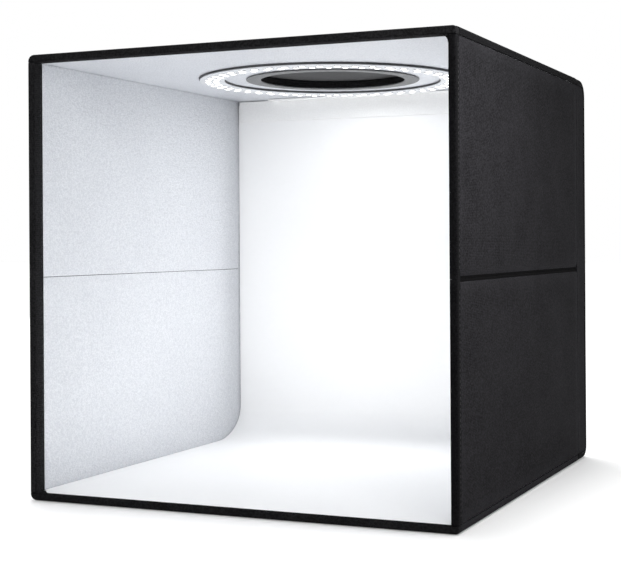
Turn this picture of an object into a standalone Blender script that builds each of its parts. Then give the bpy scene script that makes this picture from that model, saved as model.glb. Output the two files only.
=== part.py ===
"""Foldable fabric light cube: open front, folding side walls, LED ring, sweep backdrop and hinged rear tray."""
import math

import bmesh
import bpy
from mathutils import Matrix, Vector


def deg(value):
    """Return an angle in radians."""
    return math.radians(value)


# Outer size of the standing cube, X across, front towards -Y.
cube_width = 0.305
cube_depth = 0.315
cube_height = 0.300
wall_thickness = 0.005
cloth = 0.0009
play = 0.0003
overrun = 0.002
merge_distance = 0.00001
sharp_share = 0.1
ease_share = 0.45

# Rounded side edges of the roof and floor panels, softer on the left.
left_edge_radius = 0.0044
right_edge_radius = 0.0021
tape_edge_radius = 0.0011

# Black edge tape round the open front.
tape_outside = 0.006
tape_inside = 0.0095

# Rear tray that closes the back and swings up from the roof.
tray_depth = 0.0275
tray_upper_radius = 0.013
tray_lower_radius = 0.009
tray_side_radius = 0.0032
rear_tape_width = 0.012
rear_tape_inset = 0.012

# Folding side walls: hinge height at floor and roof, and the groove outside at the fold.
hinge_rise = 0.0008
fold_groove_height = 0.0038
fold_groove_depth = 0.0016
fold_lip_radius = 0.0007
fold_strip_thickness = 0.0007
fold_strip_lap = 0.0004

# Camera port in the roof with its flap.
port_centre_x = -0.006
port_radius = 0.054
port_rim_width = 0.011
port_rim_thickness = 0.0007
port_flange_width = 0.006
flap_side = 0.132
flap_corner_radius = 0.012
flap_border = 0.006
flap_tape_width = 0.010
pad_side = 0.012
pad_inset = 0.0032

# Ring of LEDs under the ceiling.
ring_inner_radius = 0.0805
ring_width = 0.0195
ring_back_gap = 0.0117
ring_carrier_thickness = 0.0008
ring_board_thickness = 0.0006
ring_margin = 0.0006
chip_height = 0.0005
chip_width = 0.0040
chip_length = 0.0045
chip_row_offset = 0.0040
chips_per_row = 48

# Cable grommet beside the ring.
grommet_gap = 0.009
grommet_bearing = 45
grommet_bore = 0.0025
grommet_wall = 0.0012
grommet_flange = 0.0030
grommet_flange_thickness = 0.0009

# White sweep backdrop and the strip it hangs from.
sheet_thickness = 0.0004
sheet_side_gap = 0.0010
sheet_front_gap = 0.0018
sheet_top_gap = 0.0032
sweep_run = 0.040
sweep_rise = 0.026
hanger_drop = 0.0180
hanger_leg = 0.010
hanger_leg_share = 0.78
hanger_side_gap = 0.0015

# Steps on curves.
fine_steps = 5
corner_steps = 8
circle_steps = 96

half_width = cube_width / 2
half_depth = cube_depth / 2
inner_half = half_width - wall_thickness
front_y = -half_depth
rear_y = half_depth
tray_front_y = rear_y - tray_depth
panel_rear_y = tray_front_y - play
tray_hinge_y = (tray_front_y + panel_rear_y) / 2
floor_top = wall_thickness
ceiling_z = cube_height - wall_thickness
wall_bottom = floor_top + play
wall_top = ceiling_z - play
lower_hinge_z = floor_top + hinge_rise
upper_hinge_z = ceiling_z - hinge_rise
middle_z = (lower_hinge_z + upper_hinge_z) / 2
fold_axis_x = half_width + play / 2
ring_outer_radius = ring_inner_radius + ring_width
port_centre_y = panel_rear_y - ring_back_gap - ring_outer_radius
port_centre = Vector((port_centre_x, port_centre_y, 0))
grommet_reach = ring_outer_radius + grommet_gap
grommet_x = port_centre_x + grommet_reach * math.cos(deg(grommet_bearing))
grommet_y = port_centre_y + grommet_reach * math.sin(deg(grommet_bearing))

black_cloth = ((0.022, 0.022, 0.024), 0.86, 0.0)
black_tape = ((0.014, 0.014, 0.016), 0.78, 0.0)
black_board = ((0.020, 0.020, 0.021), 0.60, 0.0)
silver_lining = ((0.78, 0.79, 0.83), 0.42, 0.25)
black_lining = ((0.018, 0.018, 0.019), 0.90, 0.0)
grey_binding = ((0.19, 0.20, 0.20), 0.62, 0.0)
white_resist = ((0.86, 0.87, 0.88), 0.38, 0.0)
metal_core = ((0.70, 0.71, 0.73), 0.35, 0.85)
white_sheet = ((0.93, 0.93, 0.93), 0.48, 0.0)
sheet_border = ((0.88, 0.88, 0.87), 0.60, 0.0)
hook_black = ((0.016, 0.016, 0.017), 0.95, 0.0)
rubber_black = ((0.020, 0.020, 0.020), 0.55, 0.0)

for item in list(bpy.data.objects):
    bpy.data.objects.remove(item)


def make_material(name, look):
    """Make a Principled material from colour, roughness and metallic value."""
    colour, roughness, metallic = look
    material = bpy.data.materials.new(name)
    material.use_nodes = True
    shader = material.node_tree.nodes["Principled BSDF"]
    shader.inputs["Base Color"].default_value = (*colour, 1.0)
    shader.inputs["Roughness"].default_value = roughness
    shader.inputs["Metallic"].default_value = metallic
    material.diffuse_color = (*colour, 1.0)
    return material


def make_pivot(name, x=0.0, y=0.0, z=0.0):
    """Put an empty on a hinge axis."""
    pivot = bpy.data.objects.new(name, None)
    pivot.empty_display_size = wall_thickness
    pivot.location = (x, y, z)
    bpy.context.scene.collection.objects.link(pivot)
    return pivot


def make_object(name, bm, look=None, pivot=None):
    """Turn a bmesh in world positions into an object that sits on its pivot."""
    bmesh.ops.remove_doubles(bm, verts=bm.verts, dist=merge_distance)
    bmesh.ops.recalc_face_normals(bm, faces=bm.faces)
    mesh = bpy.data.meshes.new(name)
    if pivot is not None:
        bmesh.ops.transform(bm, matrix=Matrix.Translation(-pivot.location), verts=bm.verts)
    bm.to_mesh(mesh)
    bm.free()
    for face in mesh.polygons:
        face.use_smooth = True
    mesh.set_sharp_from_angle(angle=deg(32))
    thing = bpy.data.objects.new(name, mesh)
    bpy.context.scene.collection.objects.link(thing)
    if pivot is not None:
        thing.parent = pivot
    if look is not None:
        mesh.materials.append(make_material(name + "_material", look))
    return thing


def arc(centre, radius, start, end, steps=fine_steps):
    """Return points on an arc in a plane, from start to end angle in degrees."""
    points = []
    for step in range(steps + 1):
        angle = deg(start + (end - start) * step / steps)
        points.append((centre[0] + radius * math.cos(angle), centre[1] + radius * math.sin(angle)))
    return points


def round_box(x0, x1, z0, z1, radii):
    """Return a rounded rectangle, radii in the order low left, low right, top right, top left."""
    low_left, low_right, top_right, top_left = [max(radius, play * sharp_share) for radius in radii]
    points = []
    points += arc((x0 + low_left, z0 + low_left), low_left, 180, 270)
    points += arc((x1 - low_right, z0 + low_right), low_right, 270, 360)
    points += arc((x1 - top_right, z1 - top_right), top_right, 0, 90)
    points += arc((x0 + top_left, z1 - top_left), top_left, 90, 180)
    return points


def circle(radius, steps=circle_steps):
    """Return points round a circle."""
    return arc((0, 0), radius, 0, 360 - 360 / steps, steps - 1)


def add_loft(bm, sections):
    """Skin closed sections of equal point count and cap both ends."""
    rings = [[bm.verts.new(point) for point in section] for section in sections]
    count = len(rings[0])
    for first, second in zip(rings, rings[1:]):
        for index in range(count):
            after = (index + 1) % count
            bm.faces.new((first[index], first[after], second[after], second[index]))
    bm.faces.new(rings[0])
    bm.faces.new(list(reversed(rings[-1])))


def along_y(points, y):
    """Place X and Z points in the plane at y."""
    return [(x, y, z) for x, z in points]


def along_z(points, z):
    """Place X and Y points in the plane at z."""
    return [(x, y, z) for x, y in points]


def along_x(points, x):
    """Place Y and Z points in the plane at x."""
    return [(x, y, z) for y, z in points]


def prism(name, place, points, low, high, look=None, pivot=None):
    """Make a straight bar of one section along an axis."""
    bm = bmesh.new()
    add_loft(bm, [place(points, low), place(points, high)])
    return make_object(name, bm, look, pivot)


def cut(thing, cutter):
    """Cut one object from another with an exact boolean."""
    modifier = thing.modifiers.new("cut_" + cutter.name, "BOOLEAN")
    modifier.operation = "DIFFERENCE"
    modifier.solver = "EXACT"
    modifier.object = cutter
    cutter.hide_render = True
    cutter.display_type = "WIRE"


def box_points(x0, x1, z0, z1):
    """Return the corners of a rectangle."""
    return [(x0, z0), (x1, z0), (x1, z1), (x0, z1)]


def disc_points(radius):
    """Return a circle about the port centre."""
    return [(x + port_centre_x, y + port_centre_y) for x, y in circle(radius)]


def tube(name, inner, outer, low, high, look, pivot, edge):
    """Make a flat ring about the port centre with its lower corners eased."""
    bm = bmesh.new()
    soft = min(edge, (high - low) * ease_share, (outer - inner) * ease_share)
    outline = [(inner, high), (inner, low + soft), (inner + soft, low)]
    outline += [(outer - soft, low), (outer, low + soft), (outer, high)]
    add_revolved(bm, outline)
    return make_object(name, bm, look, pivot)


def add_revolved(bm, outline, centre=port_centre, steps=circle_steps):
    """Turn a radius and height outline round a vertical axis."""
    rings = []
    for step in range(steps):
        angle = deg(360 * step / steps)
        ring = []
        for radius, height in outline:
            x = centre.x + radius * math.cos(angle)
            y = centre.y + radius * math.sin(angle)
            ring.append(bm.verts.new((x, y, height)))
        rings.append(ring)
    count = len(outline)
    for step in range(steps):
        first = rings[step]
        second = rings[(step + 1) % steps]
        for index in range(count):
            after = (index + 1) % count
            bm.faces.new((first[index], second[index], second[after], first[after]))


# Hinge axes. Each moving group of pieces hangs from an empty on its own axis.
top_pivot = make_pivot("top_pivot", -inner_half, 0.0, upper_hinge_z)
flap_pivot_x = port_centre_x - flap_side / 2
flap_thickness = 2 * play + 2 * cloth
flap_low = cube_height + play
flap_high = flap_low + flap_thickness
flap_pivot = make_pivot("flap_pivot", flap_pivot_x, 0.0, flap_high)
tray_pivot = make_pivot("tray_pivot", 0.0, tray_hinge_y, cube_height)


def flip(points, upside):
    """Mirror a floor section to make the matching roof section."""
    if not upside:
        return points
    return [(x, cube_height - z) for x, z in points]


def side_curve(radius, offset, high):
    """Return inset and height points down a side edge, from a height to the underside."""
    turn = max(radius - offset, play * sharp_share)
    centre = offset + turn
    reach = math.asin(min(max((centre - high) / turn, 0.0), 1.0))
    points = [(offset + turn * (1 - math.cos(reach)), high)]
    for step in range(fine_steps + 1):
        angle = reach + (math.pi / 2 - reach) * step / fine_steps
        points.append((offset + turn * (1 - math.cos(angle)), centre - turn * math.sin(angle)))
    return points


def panel_outline(offset, high):
    """Return the floor outline pulled in by an offset, with round lower side edges."""
    left = [(inset - half_width, z) for inset, z in side_curve(left_edge_radius, offset, high)]
    right = [(half_width - inset, z) for inset, z in side_curve(right_edge_radius, offset, high)]
    return left + list(reversed(right))


def wrap_section(thickness):
    """Return the floor skin: a plate whose sides turn up round the edges."""
    return panel_outline(0.0, floor_top) + list(reversed(panel_outline(thickness, floor_top)))


def level_panel(name, upside, pivot):
    """Make skin, board, lining and front tape of the floor or the roof."""
    made = {}
    skin_front = front_y + tape_outside + play
    lining_front = front_y + tape_inside + play
    section = flip(wrap_section(cloth), upside)
    made["skin"] = prism(name + "_skin", along_y, section, skin_front, panel_rear_y, black_cloth, pivot)
    board_front = front_y + cloth + play
    section = flip(panel_outline(cloth + play, floor_top - cloth - play), upside)
    made["board"] = prism(name + "_board", along_y, section, board_front, panel_rear_y, black_board, pivot)
    side = half_width - cloth - play
    section = flip(box_points(-side, side, floor_top - cloth, floor_top), upside)
    made["lining"] = prism(name + "_lining", along_y, section, lining_front, panel_rear_y, silver_lining, pivot)
    made["tape"] = front_tape(name, upside, pivot)
    return made


def front_tape(name, upside, pivot):
    """Make the edge tape that wraps the front of the floor or the roof."""
    bm = bmesh.new()
    sections = []
    for step in range(fine_steps + 1):
        angle = deg(90 * step / fine_steps)
        inset = tape_edge_radius * (1 - math.sin(angle))
        y = front_y + tape_edge_radius * (1 - math.cos(angle))
        sections.append(along_y(flip(panel_outline(inset, floor_top - inset), upside), y))
    sections.append([(x, front_y + tape_inside, z) for x, y, z in sections[-1]])
    add_loft(bm, sections)
    tape = make_object(name + "_tape", bm, black_tape, pivot)
    core_front = front_y + cloth
    core = flip(panel_outline(cloth, floor_top - cloth), upside)
    cut(tape, prism(name + "_tape_core", along_y, core, core_front, front_y + 2 * tape_inside))
    trim_front = front_y + tape_outside
    trim = box_points(-half_width - overrun, half_width + overrun, -overrun, floor_top - cloth)
    cut(tape, prism(name + "_tape_trim", along_y, flip(trim, upside), trim_front, front_y + 2 * tape_inside))
    side = half_width - cloth - play
    for sign in (-1, 1):
        near, far = sorted((sign * side, sign * (half_width + overrun)))
        edge = flip(box_points(near, far, -overrun, floor_top + overrun), upside)
        label = name + ("_tape_left" if sign < 0 else "_tape_right")
        cut(tape, prism(label, along_y, edge, trim_front, front_y + 2 * tape_inside))
    return tape


base_pivot = make_pivot("base_pivot")
base = level_panel("base", False, base_pivot)
top = level_panel("top", True, top_pivot)


def wall_half(side, half, pivot):
    """Make skin, board, lining and front tape of one half of a side wall."""
    sign = -1 if side == "left" else 1
    name = side + "_" + half
    lower = half == "lower"
    plain_end = wall_bottom if lower else wall_top
    fold_end = middle_z - fold_groove_height / 2 if lower else middle_z + fold_groove_height / 2
    crease = middle_z - play / 2 if lower else middle_z + play / 2
    step_x = half_width - fold_groove_depth

    def plate(x_in, x_out, lip):
        """Return a plate section that meets the crease inside and leaves the groove open outside."""
        points = [(x_in, plain_end), (x_out, plain_end)]
        turn = 1 if lower else -1
        for step in range(fine_steps + 1):
            angle = deg(90 * step / fine_steps)
            x = x_out - lip * (1 - math.cos(angle))
            z = fold_end - turn * lip * (1 - math.sin(angle))
            points.append((x, z))
        if x_in < step_x < x_out:
            points += [(step_x, fold_end), (step_x, crease)]
        points.append((x_in, crease if x_in < step_x else fold_end))
        return [(sign * x, z) for x, z in points]

    skin = plate(half_width - cloth, half_width, fold_lip_radius)
    skin_front = front_y + tape_outside + play
    prism(name + "_skin", along_y, skin, skin_front, panel_rear_y, black_cloth, pivot)
    board_in = inner_half + cloth + play
    board_out = half_width - cloth - play
    board = plate(board_in, board_out, play / 2)
    prism(name + "_board", along_y, board, front_y + cloth + play, panel_rear_y, black_board, pivot)
    lining = box_points(inner_half, inner_half + cloth, *sorted((plain_end, crease)))
    lining = [(sign * x, z) for x, z in lining]
    lining_front = front_y + tape_inside + play
    prism(name + "_lining", along_y, lining, lining_front, panel_rear_y, silver_lining, pivot)

    soft = tape_edge_radius
    outer_back = front_y + tape_outside
    inner_back = front_y + tape_inside
    points = []
    points += arc((half_width - soft, front_y + soft), soft, 0, -90)
    points += arc((inner_half + soft, front_y + soft), soft, 270, 180)
    points += [(inner_half, inner_back), (inner_half + cloth, inner_back)]
    points += [(inner_half + cloth, front_y + cloth), (half_width - cloth, front_y + cloth)]
    points += [(half_width - cloth, outer_back), (half_width, outer_back)]
    points = [(sign * x, y) for x, y in points]
    low, high = sorted((plain_end, crease))
    tape = prism(name + "_tape", along_z, points, low, high, black_tape, pivot)
    ledge = sorted((fold_end, middle_z + overrun if lower else middle_z - overrun))
    notch = [(sign * x, z) for x, z in box_points(step_x, half_width + overrun, *ledge)]
    cut(tape, prism(name + "_tape_ledge", along_y, notch, front_y - overrun, front_y + 2 * tape_inside))


def fold_strip(side, pivot):
    """Make the cloth strip at the bottom of the fold groove, sewn to the lower half."""
    sign = -1 if side == "left" else 1
    inner = half_width - fold_groove_depth + play
    low = middle_z - fold_groove_height / 2 + play
    high = middle_z + fold_strip_lap
    ease = fold_strip_thickness * ease_share
    points = round_box(inner, inner + fold_strip_thickness, low, high, (play / 2, ease, ease, play / 2))
    points = [(sign * x, z) for x, z in points]
    prism(side + "_fold_strip", along_y, points, front_y + play, panel_rear_y, black_tape, pivot)


for side_name, side_sign in (("left", -1), ("right", 1)):
    hinge_x = side_sign * inner_half
    lower_pivot = make_pivot(side_name + "_lower_pivot", hinge_x, 0.0, lower_hinge_z)
    wall_half(side_name, "lower", lower_pivot)
    fold_strip(side_name, lower_pivot)
    upper_pivot = make_pivot(side_name + "_upper_pivot", side_sign * fold_axis_x, 0.0, middle_z)
    wall_half(side_name, "upper", upper_pivot)


# Camera port: grey rim on the ceiling, black sleeve with a flange let into the roof.
port_low = ceiling_z - play - port_rim_thickness
port_rim = tube("port_rim", port_radius, port_radius + port_rim_width, port_low, ceiling_z - play,
                grey_binding, top_pivot, port_rim_thickness / 3)
bm = bmesh.new()
flange_radius = port_radius + port_flange_width
flange_low = cube_height - cloth
sleeve_outer = port_radius + cloth
sleeve = [(port_radius, ceiling_z), (sleeve_outer, ceiling_z), (sleeve_outer, flange_low)]
sleeve += [(flange_radius, flange_low), (flange_radius, cube_height), (port_radius, cube_height)]
add_revolved(bm, sleeve)
make_object("port_sleeve", bm, black_tape, top_pivot)
hole_clear = sleeve_outer + play
skin_hole = prism("roof_skin_hole", along_z, disc_points(flange_radius + play),
                  cube_height - 2 * cloth, cube_height + overrun)
cut(top["skin"], skin_hole)
for layer in ("board", "lining"):
    hole = prism("roof_" + layer + "_hole", along_z, disc_points(hole_clear),
                 ceiling_z - overrun, cube_height + overrun)
    cut(top[layer], hole)

# Square port flap: lining below, skin above and a tape border, hinged along its left side.
flap_left = flap_pivot_x
flap_right = flap_left + flap_side
flap_front = port_centre_y - flap_side / 2
flap_back = port_centre_y + flap_side / 2


def flap_outline(inset):
    """Return the flap outline pulled in by a margin."""
    radius = max(flap_corner_radius - inset, play)
    return round_box(flap_left + inset, flap_right - inset, flap_front + inset, flap_back - inset,
                     (radius, radius, radius, radius))


flap_inner = flap_border + play
flap_middle = flap_low + cloth
flap_lining = prism("flap_lining", along_z, flap_outline(flap_inner), flap_low, flap_middle,
                    black_lining, flap_pivot)
prism("flap_skin", along_z, flap_outline(flap_inner), flap_middle + play, flap_high, black_cloth, flap_pivot)
border = prism("flap_border", along_z, flap_outline(0.0), flap_low, flap_high, black_tape, flap_pivot)
cut(border, prism("flap_border_hole", along_z, flap_outline(flap_border),
                  flap_low - overrun, flap_high + overrun))

# Hook pads let into the roof and loop pads let into the flap, at both corners of the free side.
pad_reach = flap_side / 2 - flap_border - pad_inset - pad_side / 2
pad_low = cube_height - cloth


def pad_outline(sign, margin):
    """Return a square pad outline at the front or back corner, grown by a margin."""
    centre_x = port_centre_x + pad_reach
    centre_y = port_centre_y + sign * pad_reach
    reach = pad_side / 2 + margin
    return round_box(centre_x - reach, centre_x + reach, centre_y - reach, centre_y + reach,
                     (play, play, play, play))


for corner_name, corner_sign in (("front", -1), ("back", 1)):
    pad_box = pad_outline(corner_sign, 0.0)
    pad_hole = pad_outline(corner_sign, play)
    prism("flap_hook_" + corner_name, along_z, pad_box, pad_low, cube_height, hook_black, top_pivot)
    cut(top["skin"], prism("hook_hole_" + corner_name, along_z, pad_hole, pad_low - overrun,
                           cube_height + overrun))
    prism("flap_loop_" + corner_name, along_z, pad_box, flap_low, flap_middle, hook_black, flap_pivot)
    cut(flap_lining, prism("loop_hole_" + corner_name, along_z, pad_hole, flap_low - overrun,
                           flap_middle + overrun))

# Hinge tape of the flap, flat on the roof beside the flap.
tape_right = flap_left - play
flap_tape_box = round_box(tape_right - flap_tape_width, tape_right, flap_front + flap_corner_radius,
                          flap_back - flap_corner_radius, (play, play, play, play))
prism("flap_hinge_tape", along_z, flap_tape_box, cube_height + play, cube_height + play + cloth,
      black_tape, top_pivot)

# LED ring: metal carrier against the ceiling and a white board with two rows of chips.
carrier_high = ceiling_z - play
carrier_low = carrier_high - ring_carrier_thickness
tube("led_carrier", ring_inner_radius, ring_outer_radius, carrier_low, carrier_high, metal_core, top_pivot,
     ring_carrier_thickness / 4)
board_high = carrier_low - play
board_low = board_high - ring_board_thickness
chip_low = board_low - chip_height
board_inner = ring_inner_radius + ring_margin
board_outer = ring_outer_radius - ring_margin


def led_board():
    """Make the ring board with a raised block for every chip, in two staggered rows."""
    radial = [board_inner]
    row_one = board_inner + chip_row_offset
    radial += [row_one, row_one + chip_length]
    row_two = board_outer - chip_row_offset
    radial += [row_two - chip_length, row_two, board_outer]
    pitch = 2 * math.pi / chips_per_row
    wide_one = chip_width / 2 / (row_one + chip_length / 2)
    wide_two = chip_width / 2 / (row_two - chip_length / 2)
    angles = []
    for index in range(chips_per_row):
        base_angle = index * pitch
        angles += [base_angle - wide_one, base_angle + wide_one]
        angles += [base_angle + pitch / 2 - wide_two, base_angle + pitch / 2 + wide_two]
    count = len(angles)
    bm = bmesh.new()
    store = {}

    def corner(ring_index, angle_index, height):
        """Return one shared vertex of the board."""
        key = (ring_index, angle_index % count, height)
        if key not in store:
            angle = angles[angle_index % count]
            x = port_centre_x + radial[ring_index] * math.cos(angle)
            y = port_centre_y + radial[ring_index] * math.sin(angle)
            store[key] = bm.verts.new((x, y, height))
        return store[key]

    last = len(radial) - 1
    for turn in range(count):
        is_one = turn % 4 == 0
        is_two = turn % 4 == 2
        for ring_index in range(last):
            chip = (is_one and ring_index == 1) or (is_two and ring_index == 3)
            low = chip_low if chip else board_low
            bm.faces.new([corner(ring_index, turn, low), corner(ring_index + 1, turn, low),
                          corner(ring_index + 1, turn + 1, low), corner(ring_index, turn + 1, low)])
            if chip:
                edges = [(ring_index, turn), (ring_index + 1, turn), (ring_index + 1, turn + 1),
                         (ring_index, turn + 1)]
                for first, second in zip(edges, edges[1:] + edges[:1]):
                    bm.faces.new([corner(*first, board_low), corner(*second, board_low),
                                  corner(*second, chip_low), corner(*first, chip_low)])
        bm.faces.new([corner(0, turn, board_high), corner(last, turn, board_high),
                      corner(last, turn + 1, board_high), corner(0, turn + 1, board_high)])
        for edge_ring in (0, last):
            bm.faces.new([corner(edge_ring, turn, board_low), corner(edge_ring, turn + 1, board_low),
                          corner(edge_ring, turn + 1, board_high), corner(edge_ring, turn, board_high)])
    return make_object("led_board", bm, white_resist, top_pivot)


led_board()

# Grommet that lets the ring's lead out through the roof.
grommet_centre = Vector((grommet_x, grommet_y, 0))
grommet_radius = grommet_bore + grommet_wall
grommet_rim = grommet_bore + grommet_flange
grommet_low = ceiling_z - play - grommet_flange_thickness
grommet_high = cube_height + play + grommet_flange_thickness
bm = bmesh.new()
outline = [(grommet_bore, grommet_low), (grommet_rim, grommet_low), (grommet_rim, ceiling_z - play)]
outline += [(grommet_radius, ceiling_z - play), (grommet_radius, cube_height + play)]
outline += [(grommet_rim, cube_height + play), (grommet_rim, grommet_high), (grommet_bore, grommet_high)]
add_revolved(bm, outline, grommet_centre, circle_steps // 3)
make_object("cable_grommet", bm, rubber_black, top_pivot)
grommet_hole = [(x + grommet_x, y + grommet_y) for x, y in circle(grommet_radius + play, circle_steps // 3)]
for layer in ("skin", "board", "lining"):
    hole = prism("grommet_" + layer + "_hole", along_z, grommet_hole, ceiling_z - overrun, cube_height + overrun)
    cut(top[layer], hole)

# Rear tray: nested skin, board and lining with soft rear corners, swung from the roof.


def tray_solid(name, offset, look=None, pivot=None):
    """Make a filled tray shape, pulled in from the outside by an offset."""
    bm = bmesh.new()
    stations = []
    soft = max(tray_side_radius - offset, play)
    edge = half_width - offset
    for step in range(fine_steps + 1):
        angle = deg(90 * step / fine_steps)
        stations.append((edge - soft * (1 - math.cos(angle)), soft * (1 - math.sin(angle))))
    stations.reverse()
    full = [(-x, inset) for x, inset in reversed(stations)] + stations
    front = tray_front_y if look is not None else tray_front_y - overrun
    sections = []
    for x, inset in full:
        shrink = offset + inset
        upper = max(tray_upper_radius - shrink, play)
        lower = max(tray_lower_radius - shrink, play)
        low = shrink
        high = cube_height - shrink
        back = rear_y - shrink
        points = [(front, low)]
        points += arc((back - lower, low + lower), lower, 270, 360, corner_steps)
        points += arc((back - upper, high - upper), upper, 0, 90, corner_steps)
        points += [(front, high)]
        sections.append(along_x(points, x))
    add_loft(bm, sections)
    return make_object(name, bm, look, pivot)


board_offset = cloth + play
lining_offset = wall_thickness - cloth
rear_skin = tray_solid("rear_skin", 0.0, black_cloth, tray_pivot)
cut(rear_skin, tray_solid("rear_skin_hollow", cloth))
rear_board = tray_solid("rear_board", board_offset, black_board, tray_pivot)
cut(rear_board, tray_solid("rear_board_hollow", lining_offset - play))
rear_lining = tray_solid("rear_lining", lining_offset, silver_lining, tray_pivot)
cut(rear_lining, tray_solid("rear_lining_hollow", wall_thickness))

# Hinge tape of the tray, let into the rear edge of the roof.
tape_half = half_width - rear_tape_inset
tape_front = panel_rear_y - rear_tape_width
rear_tape_box = box_points(-tape_half, tape_half, cube_height - cloth, cube_height)
prism("rear_hinge_tape", along_y, rear_tape_box, tape_front, panel_rear_y, black_tape, top_pivot)
notch = box_points(-tape_half - play, tape_half + play, cube_height - cloth - play, cube_height + overrun)
cut(top["skin"], prism("rear_tape_notch", along_y, notch, tape_front - play, panel_rear_y + overrun))

# Sweep backdrop: flat on the floor, curving up behind the walls, hung by its top edge.
sheet_front_y = front_y + sheet_front_gap
sheet_floor_z = floor_top + play + sheet_thickness / 2
hanger_y = tray_front_y + play
sheet_back_y = hanger_y + cloth + play + sheet_thickness / 2
sheet_top_z = ceiling_z - sheet_top_gap
sheet_half = inner_half - sheet_side_gap


def sheet_path():
    """Return the middle line of the sheet with its unit normals."""
    path = [((sheet_front_y, sheet_floor_z), (0.0, 1.0))]
    start_y = sheet_back_y - sweep_run
    centre_z = sheet_floor_z + sweep_rise
    for step in range(2 * corner_steps + 1):
        angle = deg(90 * step / (2 * corner_steps))
        y = start_y + sweep_run * math.sin(angle)
        z = centre_z - sweep_rise * math.cos(angle)
        slope = Vector((sweep_run * math.cos(angle), sweep_rise * math.sin(angle))).normalized()
        path.append(((y, z), (-slope.y, slope.x)))
    path.append(((sheet_back_y, sheet_top_z), (-1.0, 0.0)))
    return path


upper_side = []
lower_side = []
for (y, z), (ny, nz) in sheet_path():
    upper_side.append((y + ny * sheet_thickness / 2, z + nz * sheet_thickness / 2))
    lower_side.append((y - ny * sheet_thickness / 2, z - nz * sheet_thickness / 2))
sheet_section = upper_side + list(reversed(lower_side))
prism("backdrop_sheet", along_x, sheet_section, -sheet_half, sheet_half, white_sheet, base_pivot)

# Hanging strip: an angle under the ceiling with its drop in front of the sheet.
hanger_high = ceiling_z - play
hanger_half = inner_half - hanger_side_gap
leg_half = hanger_half * hanger_leg_share
hanger_back = hanger_y + cloth
hanger_front = hanger_back - hanger_leg
leg_low = hanger_high - cloth
hanger_low = hanger_high - hanger_drop
section = [(hanger_front, leg_low), (hanger_y, leg_low), (hanger_y, hanger_low)]
section += [(hanger_back, hanger_low), (hanger_back, hanger_high), (hanger_front, hanger_high)]
hanger = prism("backdrop_hanger", along_x, section, -hanger_half, hanger_half, sheet_border, top_pivot)
for side_sign in (-1, 1):
    near, far = sorted((side_sign * leg_half, side_sign * (hanger_half + overrun)))
    corner_box = box_points(near, far, leg_low - overrun, hanger_high + overrun)
    label = "hanger_corner_left" if side_sign < 0 else "hanger_corner_right"
    cut(hanger, prism(label, along_y, corner_box, hanger_front - overrun, hanger_y))
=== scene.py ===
"""Foldable light cube: black cloth walls, silver lining, ring of lamps, white sweep sheet and rear tray."""
import math

import bmesh
import bpy
import numpy as np
from mathutils import Matrix, Vector, noise


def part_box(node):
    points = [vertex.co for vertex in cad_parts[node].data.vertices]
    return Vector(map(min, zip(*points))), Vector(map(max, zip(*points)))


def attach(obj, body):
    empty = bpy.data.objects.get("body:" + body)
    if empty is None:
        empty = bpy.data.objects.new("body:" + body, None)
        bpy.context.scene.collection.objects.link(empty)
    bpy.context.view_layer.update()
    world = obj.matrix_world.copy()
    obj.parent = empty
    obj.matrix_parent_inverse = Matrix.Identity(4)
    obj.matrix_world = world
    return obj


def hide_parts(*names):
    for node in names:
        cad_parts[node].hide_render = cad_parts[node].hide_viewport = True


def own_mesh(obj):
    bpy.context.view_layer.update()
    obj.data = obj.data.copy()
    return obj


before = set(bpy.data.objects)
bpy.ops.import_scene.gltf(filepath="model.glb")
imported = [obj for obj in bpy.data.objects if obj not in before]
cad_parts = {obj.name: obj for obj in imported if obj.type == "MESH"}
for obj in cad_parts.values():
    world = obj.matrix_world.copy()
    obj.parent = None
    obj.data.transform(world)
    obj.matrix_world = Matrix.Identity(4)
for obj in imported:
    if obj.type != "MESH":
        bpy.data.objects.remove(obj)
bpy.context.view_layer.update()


# Camera. It stands at the photograph's place, a little above half the cube's height and to its right, level and
# turned a third of a degree. Its lens is shifted, so that the cube sits in the middle of the picture.
camera_heading = 22.6698
camera_turn = -0.35
camera_data = bpy.data.cameras.new("camera")
camera_data.sensor_width = 36
camera_data.lens = 78.345
camera_data.shift_x = -0.1
camera_data.shift_y = -0.06681


def stand(name, data):
    """Put a new thing into the scene."""
    thing = bpy.data.objects.new(name, data)
    bpy.context.scene.collection.objects.link(thing)
    return thing


camera = stand("camera", camera_data)
level_aim = Matrix.Rotation(math.radians(camera_heading), 4, "Z") @ Matrix.Rotation(math.radians(90), 4, "X")
camera_aim = level_aim @ Matrix.Rotation(math.radians(camera_turn), 4, "Z")
camera.matrix_world = Matrix.Translation((0.4127, -0.9088, 0.1725)) @ camera_aim
bpy.context.scene.camera = camera
bpy.context.scene.view_settings.view_transform = "Standard"


# Room. A pale soft room lights the cube from all round, and shows as white behind it. The floor is a pale
# sheet that keeps the cube's shadow. Soft lamps hang overhead, in front, close on the right, before the
# opening and behind.
room_level = 0.49
floor_reach = 9.0
floor_lift = 0.20


def feed(tree, source, socket):
    """Link a socket to the output that feeds it, or set it to a plain value."""
    if isinstance(source, bpy.types.NodeSocket):
        tree.links.new(source, socket)
    else:
        socket.default_value = source


def add_node(tree, kind, *sources, how=None, **named):
    """Add a node, feed its inputs in order or by name, and give its outputs."""
    node = tree.nodes.new("ShaderNode" + kind)
    if how:
        node.operation = how
    for source, socket in zip(sources, node.inputs):
        feed(tree, source, socket)
    for name, source in named.items():
        feed(tree, source, node.inputs[name.title()])
    return node.outputs


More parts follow.
